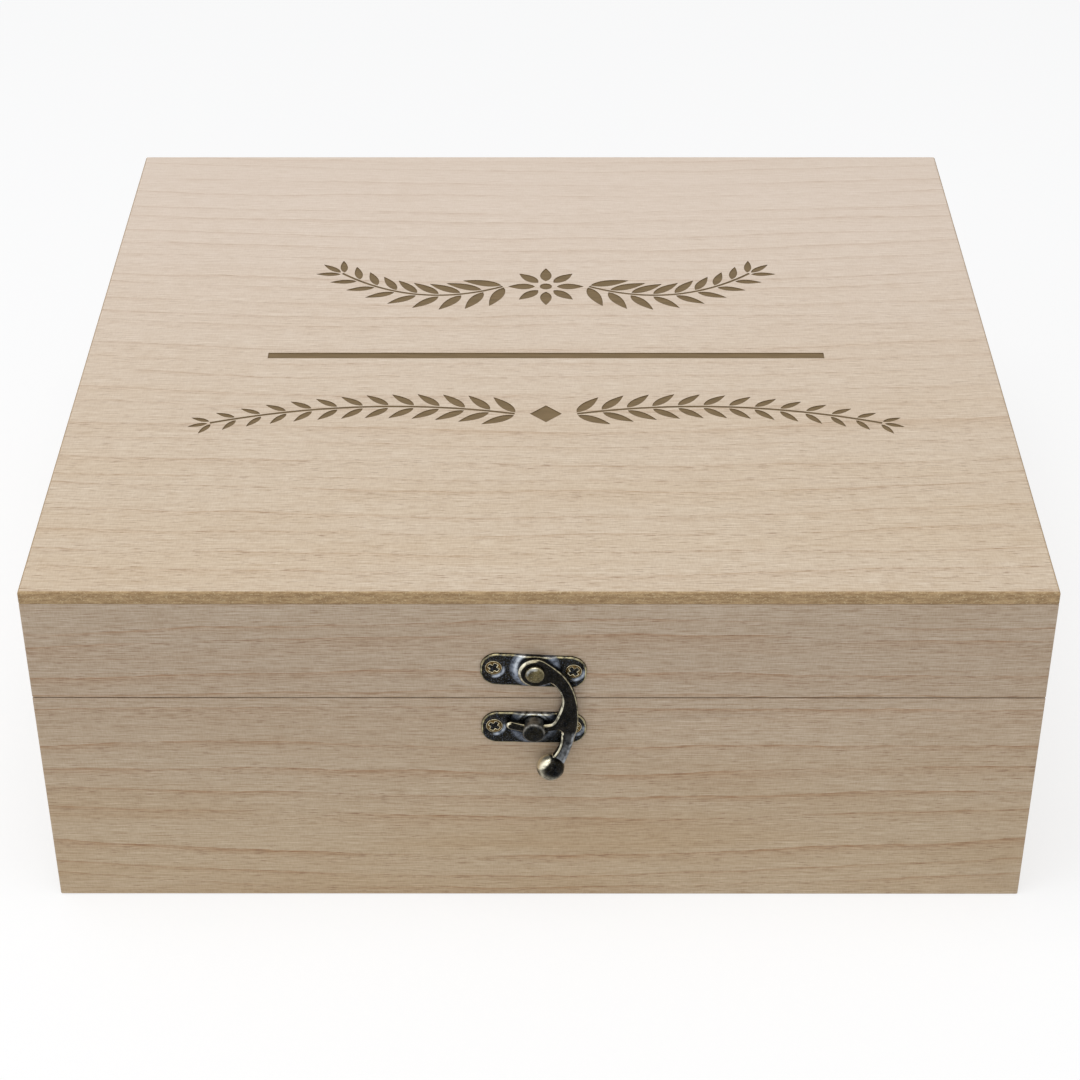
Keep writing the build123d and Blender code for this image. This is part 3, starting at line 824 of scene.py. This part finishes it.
brassGroup = makeBrassGroup(wear)
metals = {
    "plate": makeBrass("antique brass, pressed sheet", brassGroup, {
        "rim": "bab08a", "slope": "8b94a4", "rimStart": 0.5, "rimFull": 1.6, "rimRoughness": 0.36}),
    # the arm's rims that face left are fully painted whiter, as a painted highlight
    "arm": makeBrass("antique brass, cast arm", brassGroup, {
        "mottle": "1a1817", "rim": "aaa185", "rubbed": "ebe5cd", "slope": "93969a", "fleck": "3c3f46",
        "olive": "3d382a", "oliveShare": 0.14, "coolShare": 1.0, "rimStart": 0.0, "rimFull": 0.85}),
    # the peg's walls carry a strong grey painted sheen
    "peg": makeBrass("antique brass, turned peg", brassGroup, {
        "slopeShare": 0.55, "rimStart": 1.2, "rimFull": 3.0, "slope": "a6a49e", "fleck": "34373e"}),
    # the rivet head carries a painted highlight ring
    "rivet": makeBrass("antique brass, rubbed rivet head", brassGroup, {
        "patina": "373123", "mottle": "5f573f", "fleck": "9f9983", "olive": "786e4d", "oliveShare": 0.5,
        "rim": "cdc6a6"}),
    # a little grey painted sheen on the hinge's walls
    "hinge": makeBrass("antique brass, rolled hinge", brassGroup, {"slopeShare": 0.15, "mottleSize": 1.4}),
    # yellow brass plating, darkened in its hollows
    "screw": makeBrass("yellow brass plated screw", brassGroup, {
        "patina": "332610", "mottle": "5f4a28", "fleck": "8f7b55", "olive": "75603a", "oliveShare": 0.4,
        "rim": "e9dfbd", "mottleSize": 0.6, "rimStart": 0.2, "rimFull": 1.2}),
}


# how sharply the surface bends out at each point, in 1/mm, kept on the mesh for the rubbed rims
def markEdges(mesh, soften):
    count = len(mesh.vertices)
    places = np.empty(count * 3)
    normals = np.empty(count * 3)
    ends = np.empty(len(mesh.edges) * 2, dtype=np.int64)
    mesh.vertices.foreach_get("co", places)
    mesh.vertices.foreach_get("normal", normals)
    mesh.edges.foreach_get("vertices", ends)
    places = places.reshape(-1, 3) / mm
    normals = normals.reshape(-1, 3)
    first, second = ends.reshape(-1, 2).T
    step = places[second] - places[first]
    length = (step ** 2).sum(1) + 1e-9
    degree = np.bincount(first, minlength=count) + np.bincount(second, minlength=count)
    bend = np.bincount(first, -2 * (step * normals[first]).sum(1) / length, count)
    bend += np.bincount(second, 2 * (step * normals[second]).sum(1) / length, count)
    bend /= np.maximum(degree, 1)
    for _ in range(soften):
        around = np.bincount(first, bend[second], count) + np.bincount(second, bend[first], count)
        bend = (bend + around / np.maximum(degree, 1)) / 2
    paintPoints(mesh, "edgeBend", bend)


def paintPoints(mesh, name, values):
    attribute = mesh.attributes.new(name, "FLOAT", "POINT")
    attribute.data.foreach_set("value", np.asarray(values, dtype=np.float32))


casting = {
    "voxel": 0.11,              # mm
    "smoothing": 7,
    "smoothFactor": 0.5,
    "soften": 3,
    "swell": 1.0,
}


# soft-edged cast or rolled piece: the frame's solid remeshed evenly and smoothed, so that its edges round
def makeCasting(name, node, body, material, changes=None):
    settings = dict(casting, **(changes or {}))
    piece = newObject(name, mergedCopy(name, node))
    middle = Matrix.Translation(middleOf(node))
    swollen = Matrix.Diagonal((settings["swell"], 1.0, settings["swell"], 1.0))
    piece.data.transform(Matrix.Scale(1 / mm, 4) @ middle @ swollen @ middle.inverted())
    addModifier(piece, "even", "REMESH", mode="VOXEL", voxel_size=settings["voxel"], use_smooth_shade=True)
    addModifier(piece, "soft", "SMOOTH", factor=settings["smoothFactor"], iterations=settings["smoothing"])
    settleMesh(piece)
    piece.data.transform(Matrix.Scale(mm, 4))
    markEdges(piece.data, settings["soften"])
    finishPiece(piece, body, [material], [node])
    return piece


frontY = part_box("base_front_panel")[0].y
plate = {
    "length": 28.2,             # mm
    "height": 10.2,
    "corner": 4.5,
    "thickness": 0.8,
    "edgeRound": 0.45,
    "edgeSteps": 6,
    "bossRise": 0.5,
    "bossTop": 9.4,
    "bossFoot": 13.8,
    "holeSpacing": 21.2,
    "holeRise": 0.4,
    "dimpleTop": 6.6,
    "dimpleFoot": 4.3,
    "dimpleDepth": 0.36,
    "rings": 34,
    "arcSteps": 16,
    "longSteps": 92,
    "shortSteps": 5,
    "tilts": {"upper": -3.3, "lower": -1.0},
    # painted light in rings about the boss, and about each dimple: a grey painted sheen and painted
    # highlights.
    # attribute, radius (only for the boss) and half width in mm, share, and the degrees that a ring is
    # brightest to
    "shines": {
        "upper": [("pressed", 5.4, 1.4, 0.9, None), ("rubbed", 5.2, 0.7, 0.8, 150)],
        "lower": [("pressed", 5.5, 1.2, 0.45, None), ("rubbed", 4.8, 0.45, 1.0, 95),
                ("rubbed", 3.9, 0.35, 0.8, 80)],
    },
    # painted highlights on the lower right of each dimple
    "dimpleShines": [("pressed", 0.5, 0.9, -38), ("rubbed", 0.35, 0.4, -42)],
}


def smoothShare(value):
    share = np.clip(value, 0.0, 1.0)
    return share * share * (3 - 2 * share)


# local x to the right, local y up, local z out of the front boards, in mm
def frontMatrix(place, tilt):
    turned = Matrix.Rotation(math.pi / 2, 4, "X") @ Matrix.Rotation(math.radians(tilt), 4, "Z")
    return Matrix.Translation((place.x, frontY, place.z)) @ turned @ Matrix.Scale(mm, 4)


# points round a rounded rectangle, as many on every ring
def roundedRing(halfLength, halfHeight, radius, settings):
    points = []
    corners = [(1, -1, -90), (1, 1, 0), (-1, 1, 90), (-1, -1, 180)]
    for index, (sideX, sideY, start) in enumerate(corners):
        centre = np.array([sideX * (halfLength - radius), sideY * (halfHeight - radius)])
        for step in range(settings["arcSteps"] + 1):
            angle = math.radians(start + 90 * step / settings["arcSteps"])
            points.append(centre + radius * np.array([math.cos(angle), math.sin(angle)]))
        nextX, nextY, nextStart = corners[(index + 1) % 4]
        turn = math.radians(nextStart)
        ahead = np.array([nextX * (halfLength - radius), nextY * (halfHeight - radius)])
        ahead = ahead + radius * np.array([math.cos(turn), math.sin(turn)])
        steps = settings["shortSteps"] if index % 2 == 0 else settings["longSteps"]
        last = points[-1]
        points += [last + (ahead - last) * share / steps for share in range(1, steps)]
    return np.array(points)


def circleRing(radius, level, turns):
    return [(radius * math.cos(turn), radius * math.sin(turn), level) for turn in turns]


# closed mesh through rings of equally many points, both ends closed
def ringMesh(name, rings, merge=0.002):
    bm = bmesh.new()
    rows = [[bm.verts.new(point) for point in ring] for ring in rings]
    around = len(rings[0])
    for low, high in zip(rows, rows[1:]):
        for index in range(around):
            after = (index + 1) % around
            bm.faces.new((low[index], low[after], high[after], high[index]))
    bm.faces.new(list(reversed(rows[0])))
    bm.faces.new(rows[-1])
    bmesh.ops.remove_doubles(bm, verts=bm.verts, dist=merge)
    bmesh.ops.dissolve_degenerate(bm, edges=bm.edges, dist=merge)
    bmesh.ops.recalc_face_normals(bm, faces=bm.faces)
    for face in bm.faces:
        face.smooth = len(face.verts) <= 4
    return meshFrom(bm, name)


# height of a plate's face at points of its own plane: boss in the middle, a dimple round each screw
def plateLevel(flat, boss, settings):
    fromBoss = np.hypot(flat[:, 0] - boss.x, flat[:, 1] - boss.y)
    slopeWidth = (settings["bossFoot"] - settings["bossTop"]) / 2
    level = settings["thickness"]
    level = level + settings["bossRise"] * smoothShare((settings["bossFoot"] / 2 - fromBoss) / slopeWidth)
    dimpleWidth = (settings["dimpleTop"] - settings["dimpleFoot"]) / 2
    for side in (-1, 1):
        fromHole = np.hypot(flat[:, 0] - side * settings["holeSpacing"] / 2,
                flat[:, 1] - settings["holeRise"])
        sunk = smoothShare((settings["dimpleTop"] / 2 - fromHole) / dimpleWidth)
        level = level - settings["dimpleDepth"] * sunk
    return level


# share of a ring of painted light at points of the plane, brightest toward an angle from the ring's middle
def ringShine(flat, middle, radius, halfWidth, degrees, hardness=0.6, start=0.45, spread=0.5):
    x, y = flat[:, 0] - middle[0], flat[:, 1] - middle[1]
    distance = np.hypot(x, y) + 1e-6
    shine = np.clip(1 - np.abs(distance - radius) / halfWidth, 0.0, 1.0) ** hardness
    if degrees is not None:
        toward = math.radians(degrees)
        cosine = (x * math.cos(toward) + y * math.sin(toward)) / distance
        shine = shine * smoothShare((cosine - start) / spread)
    return shine


# painted light on a plate: a grey painted sheen and painted highlights in rings on its boss, and on the lower
# right of each dimple
def paintPlate(mesh, key, boss, settings):
    flat = np.array([vertex.co[:2] for vertex in mesh.vertices])
    painted = {"pressed": np.zeros(len(flat)), "rubbed": np.zeros(len(flat))}
    for name, radius, halfWidth, share, degrees in settings["shines"][key]:
        painted[name] += share * ringShine(flat, boss, radius, halfWidth, degrees)
    radius = (settings["dimpleTop"] + settings["dimpleFoot"]) / 4
    for name, halfWidth, share, degrees in settings["dimpleShines"]:
        for side in (-1, 1):
            hole = (side * settings["holeSpacing"] / 2, settings["holeRise"])
            painted[name] += share * ringShine(flat, hole, radius, halfWidth, degrees)
    for name, values in painted.items():
        paintPoints(mesh, name, np.clip(values, 0.0, 1.0))


def makePlate(name, key, node, screwed, body, settings):
    matrix = frontMatrix(middleOf(node), settings["tilts"][key])
    boss = matrix.inverted() @ middleOf(screwed)
    halfLength, halfHeight = settings["length"] / 2, settings["height"] / 2
    edge = settings["edgeRound"]
    edgeSteps, steps = settings["edgeSteps"], settings["rings"]
    insets = [edge * step / edgeSteps for step in range(edgeSteps + 1)]
    insets += [edge + (halfHeight - edge) * step / steps for step in range(1, steps + 1)]
    rings = []
    for inset in insets:
        height = halfHeight - inset
        flat = roundedRing(halfLength - inset, height, settings["corner"] * height / halfHeight, settings)
        level = plateLevel(flat, boss, settings)
        share = min(1.0, inset / edge)
        rings.append(np.column_stack([flat, level - edge * (1 - math.sqrt(1 - (1 - share) ** 2))]))
    back = rings[0].copy()
    back[:, 2] = 0.0
    mesh = ringMesh(name, [back] + rings)
    paintPlate(mesh, key, boss, settings)
    mesh.transform(matrix)
    markEdges(mesh, 1)
    finishPiece(newObject(name, mesh), body, [metals["plate"]], [node])


makePlate("latchPlate.upper", "upper", "latch_upper_plate", "latch_rivet", "lid", plate)
makePlate("latchPlate.lower", "lower", "latch_lower_plate", "latch_peg", "base", plate)

peg = {"voxel": 0.09, "smoothing": 6, "swell": 1.06}
arm = {
    "voxel": 0.11,
    "smoothing": 9,
    "fullness": 0.55,           # mm that the outer side of the crescent stands out
    "evenShare": 0.6,           # share of that all round the eye, the neck and the ball
    "eyeRadius": 4.15,
    "fadeWidth": 2.0,           # mm over which one of these passes into the next
    "tongueEnd": 5.0,           # right of the rivet
    "tongueRadius": 16.5,       # the tongue is farther from the rivet than that
    "tongueFade": (1.5, 0.5),   # mm over which it starts, sideways and upward
    "waist": -20.9,             # below the rivet
    "ballDiameter": 6.9,
    "ballX": 3.15,
    "neckTop": 11.5,            # above the ball's middle
    "neckShare": 1.2,           # grey painted sheen down the neck's outer side
    "shineToward": (-0.62, -0.21, 0.75),    # painted highlight on the ball's upper left
    "shineFrom": 0.72,          # how straight a place has to face there
    "shineShare": 4.0,
    "edgeFrom": (0.30, -0.78, 0.54),        # painted reflection: the ball is lightened the farther a place faces from this, so that its middle stays dark
    "edgeShare": 0.6,
    "edgeStart": 0.80,
    "edgeWidth": 0.6,
    "ballReach": 1.12,          # share of the ball's radius where its paint ends, and over which it fades
    "ballFade": 0.14,
    "band": (0.42, 0.975),      # how far a bevel faces the front where its rubbed band starts and ends
    "line": (0.15, 0.645),      # the same where it faces right, away from the light, so that the band is only a line there: painted shade
    "bandFade": (0.18, 0.12),
    "outward": (-0.1, 0.5),     # how far a place faces right where the grey painted sheen starts, and how fast it is full
    "right": (-0.25, 0.6),      # the same for the line
}


# fuller than the frame's plain solid, but for the hole in its eye and its tongue, which fit other pieces
def fillOut(mesh, settings):
    pivot = middleOf("latch_rivet")
    fade = settings["fadeWidth"]
    sideways, upward = settings["tongueFade"]
    moves = []
    for vertex in mesh.vertices:
        x, z = (vertex.co.x - pivot.x) / mm, (vertex.co.z - pivot.z) / mm
        fromPivot = math.hypot(x, z)
        even = max(smoothShare((settings["eyeRadius"] + fade - fromPivot) / fade),
                smoothShare((settings["waist"] + fade / 2 - z) / fade))
        tongue = smoothShare((settings["tongueEnd"] - x) / sideways)
        tongue *= smoothShare((z - settings["waist"]) / upward)
        tongue *= smoothShare(fromPivot - settings["tongueRadius"])
        outer = smoothShare(vertex.normal.x)
        reach = settings["fullness"] * (settings["evenShare"] * even + outer * (1 - even)) * (1 - tongue)
        reach *= smoothShare(fromPivot - settings["eyeRadius"] / 2)
        moves.append(Vector((vertex.normal.x, 0, vertex.normal.z)) * reach * mm)
    for vertex, move in zip(mesh.vertices, moves):
        vertex.co += move
    mesh.update()


# painted highlight and painted reflection on the ball, and a grey painted sheen down the neck's outer side
def paintArm(mesh, settings):
    radius = settings["ballDiameter"] / 2 * mm
    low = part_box("latch_arm")[0]
    middle = Vector((settings["ballX"] * mm, low.y + radius, low.z + radius))
    shineToward, edgeFrom = Vector(settings["shineToward"]), Vector(settings["edgeFrom"])
    bandStart, bandEnd = settings["band"]
    lineStart, lineEnd = settings["line"]
    startFade, endFade = settings["bandFade"]
    fade = settings["fadeWidth"] * mm
    rubbed, pressed = [], []
    for vertex, edge in zip(mesh.vertices, mesh.attributes["edgeBend"].data):
        normal = vertex.normal
        away = (vertex.co - middle).length
        onBall = float(smoothShare((radius * settings["ballReach"] - away) / (radius * settings["ballFade"])))
        # painted highlight where the ball faces its upper left, and painted reflection that lightens it away
        # from its dark middle
        shine = smoothShare((normal @ shineToward - settings["shineFrom"]) / (1 - settings["shineFrom"]))
        edgeOn = smoothShare((settings["edgeStart"] - normal @ edgeFrom) / settings["edgeWidth"])
        rubbed.append(onBall * (settings["shineShare"] * shine + settings["edgeShare"] * edgeOn))
        neck = smoothShare((settings["neckTop"] * mm - (vertex.co.z - middle.z)) / fade)
        neck *= 1 - onBall
        outward, right = [smoothShare((normal.x - settings[key][0]) / settings[key][1]) for key in ("outward",
                "right")]
        pressed.append(settings["neckShare"] * neck * outward - onBall)
        # the bevel round the arm's front is rubbed as one band; where it faces right, away from the light, it
        # is narrowed to a line, as painted shade
        band = smoothShare((-normal.y - bandStart + (bandStart - lineStart) * right) / startFade)
        band *= smoothShare((bandEnd - (bandEnd - lineEnd) * right + normal.y) / endFade)
        edge.value = band * (1 - onBall)
    paintPoints(mesh, "rubbed", rubbed)
    paintPoints(mesh, "pressed", pressed)


makeCasting("latchPeg", "latch_peg", "base", metals["peg"], peg)
hookArm = makeCasting("latchArm", "latch_arm", "latch_arm", metals["arm"], arm)
paintArm(hookArm.data, arm)
fillOut(hookArm.data, arm)

rivetHead = {
    "radius": 2.55,             # mm
    "rim": 0.5,
    "chamfer": 0.12,
    "dome": 1.2,
    "shank": 1.2,
    "shankFoot": 0.3,           # in front of the boards
    "flatness": 0.85,           # below 1 for a dome that is flatter than an ellipse
    "rings": 18,
    "around": 72,
    "shine": (0.45, 0.4, 125),      # inset and half width of the painted highlight ring, degrees it is brightest to
    "shineShare": 0.6,
}


def makeRivet(name, node, body, settings):
    matrix = frontMatrix(middleOf(node), 0)
    rimLevel = (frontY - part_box(node)[0].y) / mm - settings["dome"]
    radius, shank, chamfer = settings["radius"], settings["shank"], settings["chamfer"]
    rimFoot = rimLevel - settings["rim"]
    profile = [(shank, settings["shankFoot"]), (shank, rimFoot), (radius - chamfer, rimFoot),
            (radius, rimLevel - chamfer), (radius, rimLevel)]
    for step in range(1, settings["rings"] + 1):
        angle = math.pi / 2 * step / settings["rings"]
        rise = settings["dome"] * math.sin(angle) ** settings["flatness"]
        profile.append((radius * math.cos(angle), rimLevel + rise))
    turns = [2 * math.pi * step / settings["around"] for step in range(settings["around"])]
    rings = [circleRing(ringRadius, level, turns) for ringRadius, level in profile]
    mesh = ringMesh(name, rings)
    # a painted highlight ring round the head, brightest toward its upper left
    flat = np.array([vertex.co[:2] for vertex in mesh.vertices])
    inset, halfWidth, degrees = settings["shine"]
    shine = ringShine(flat, (0, 0), radius - inset, halfWidth, degrees)
    paintPoints(mesh, "rubbed", settings["shineShare"] * shine)
    mesh.transform(matrix)
    markEdges(mesh, 1)
    finishPiece(newObject(name, mesh), body, [metals["rivet"]], [node])


makeRivet("latchRivet", "latch_rivet", "lid", rivetHead)
print("latch done")

screwHead = {
    "radius": 2.2,              # mm
    "crown": 0.2,
    "headDepth": 0.65,
    "shankRadius": 1.0,
    "length": 7.5,
    "point": 2.0,
    "crossHalfLength": 1.46,
    "crossHalfWidth": 0.50,
    "crossDepth": 0.55,
    "crossCentre": 0.80,        # radius of the round middle of the cross
    "crossEdge": (0.06, 0.16),      # where the rounding of its edge starts, outside of it, and how wide it is
    "recessGain": 5,            # how soon the dark is full down that edge
    "recessLevel": -0.5,        # no dark is painted below it
    "chamfer": (0.06, 0.04),
    "rings": 30,
    "around": 96,
    "turnSpread": 80.0,     # degrees, because no two screws stop at the same turn
    "seed": 7,
}


# one screw standing on its point along z, its head's rim at z = 0
def screwMesh(settings):
    turns = [2 * math.pi * (step + 0.5) / settings["around"] for step in range(settings["around"])]
    shank, head = settings["shankRadius"], settings["radius"]
    inset, drop = settings["chamfer"]
    profile = ((0.0, -settings["length"]), (shank, settings["point"] - settings["length"]),
            (shank, -settings["headDepth"]), (head - inset, -drop))
    rings = [circleRing(radius, level, turns) for radius, level in profile]
    for step in range(settings["rings"] + 1):
        radius = head * (1 - step / settings["rings"])
        ring = []
        for turn in turns:
            x, y = radius * math.cos(turn), radius * math.sin(turn)
            level = settings["crown"] * (1 - (radius / head) ** 2)
            ring.append((x, y, level - crossShare(x, y, settings) * settings["crossDepth"]))
        rings.append(ring)
    mesh = ringMesh("screw", rings)
    # the cross is painted near black
    recess = []
    for vertex in mesh.vertices:
        share = min(1.0, settings["recessGain"] * crossShare(*vertex.co[:2], settings))
        recess.append(share if vertex.co.z > settings["recessLevel"] else 0.0)
    paintPoints(mesh, "recess", recess)
    mesh.transform(Matrix.Scale(mm, 4))
    markEdges(mesh, 1)
    mesh.materials.append(metals["screw"])
    return mesh


# 1 inside the cross of a screw's head, falling to 0 over its rounded edge
def crossShare(x, y, settings):
    outside = max(min(abs(x), abs(y)) - settings["crossHalfWidth"],
            max(abs(x), abs(y)) - settings["crossHalfLength"])
    outside = min(outside, math.hypot(x, y) - settings["crossCentre"])
    start, width = settings["crossEdge"]
    return float(smoothShare((start - outside) / width))


# tree: a screw on each point, facing as told and turned at random about its own axis
def makeScrewTree():
    tree, given = newGroup("screws on points", "GeometryNodeTree", {
        "Geometry": "Geometry", "Screw": "Object", "Facing": "Float", "Turn Spread": "Float", "Seed": "Int",
        "Finish": "Material"}, {"Geometry": "Geometry"})
    screw = addNode(tree, "GeometryNodeObjectInfo", {"Object": given["Screw"]}).outputs["Geometry"]
    facing = addNode(tree, "ShaderNodeCombineXYZ", {"X": math.pi / 2, "Z": given["Facing"]})
    placed = addNode(tree, "GeometryNodeInstanceOnPoints", {"Points": given["Geometry"], "Instance": screw,
            "Rotation": facing})
    turn = addNode(tree, "FunctionNodeRandomValue", {"Max": given["Turn Spread"], "Seed": given["Seed"]},
            data_type="FLOAT")
    spin = addNode(tree, "ShaderNodeCombineXYZ", {"Z": turn})
    turned = addNode(tree, "GeometryNodeRotateInstances", {"Instances": placed, "Rotation": spin,
            "Local Space": True})
    return closeTree(tree, turned, given["Finish"])


# middles of the two screws of a node, level with their heads' rims
def screwPoints(node, spacing, tilt, outward):
    middle = middleOf(node)
    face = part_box(node)[0 if outward < 0 else 1].y
    middle.y = face - outward * screwHead["crown"] * mm
    along = Vector((math.cos(math.radians(tilt)), 0, math.sin(math.radians(tilt)))) * spacing / 2 * mm
    return [middle - along, middle + along]


def makeScrews(name, groups, body, screwObject, tree):
    bm = bmesh.new()
    for index, (node, spacing, tilt, outward) in enumerate(groups):
        mesh = bpy.data.meshes.new(f"{name}.points")
        mesh.from_pydata(screwPoints(node, spacing, tilt, outward), [], [])
        part = grownPiece(f"{name}.{index}", mesh, tree, {
            "Screw": screwObject, "Facing": 0.0 if outward < 0 else math.pi,
            "Turn Spread": math.radians(screwHead["turnSpread"]), "Seed": screwHead["seed"] + index,
            "Finish": metals["screw"]})
        bm.from_mesh(part.data)
        bpy.data.objects.remove(part)
    replaced = [group[0] for group in groups]
    finishPiece(newObject(name, meshFrom(bm, name)), body, [metals["screw"]], replaced)


hingeScrewSpacing = 18.0        # mm
screwObject = newObject("screwPattern", screwMesh(screwHead))
screwTree = makeScrewTree()
for body, key in (("base", "lower"), ("lid", "upper")):
    makeScrews(f"screws.{body}", [
        (f"latch_{key}_screws", plate["holeSpacing"], plate["tilts"][key], -1),
        (f"hinge_left_{body}_screws", hingeScrewSpacing, 0, 1),
        (f"hinge_right_{body}_screws", hingeScrewSpacing, 0, 1)], body, screwObject, screwTree)
bpy.data.objects.remove(screwObject)
print("screws done")

hinge = {"voxel": 0.2, "smoothing": 3, "soften": 2}
for side in ("left", "right"):
    for body in ("base", "lid"):
        makeCasting(f"hingeLeaf.{body}.{side}", f"hinge_{side}_{body}_leaf", body, metals["hinge"], hinge)
    makeCasting(f"hingePin.{side}", f"hinge_{side}_pin", "base", metals["hinge"], hinge)
print("hinges done")
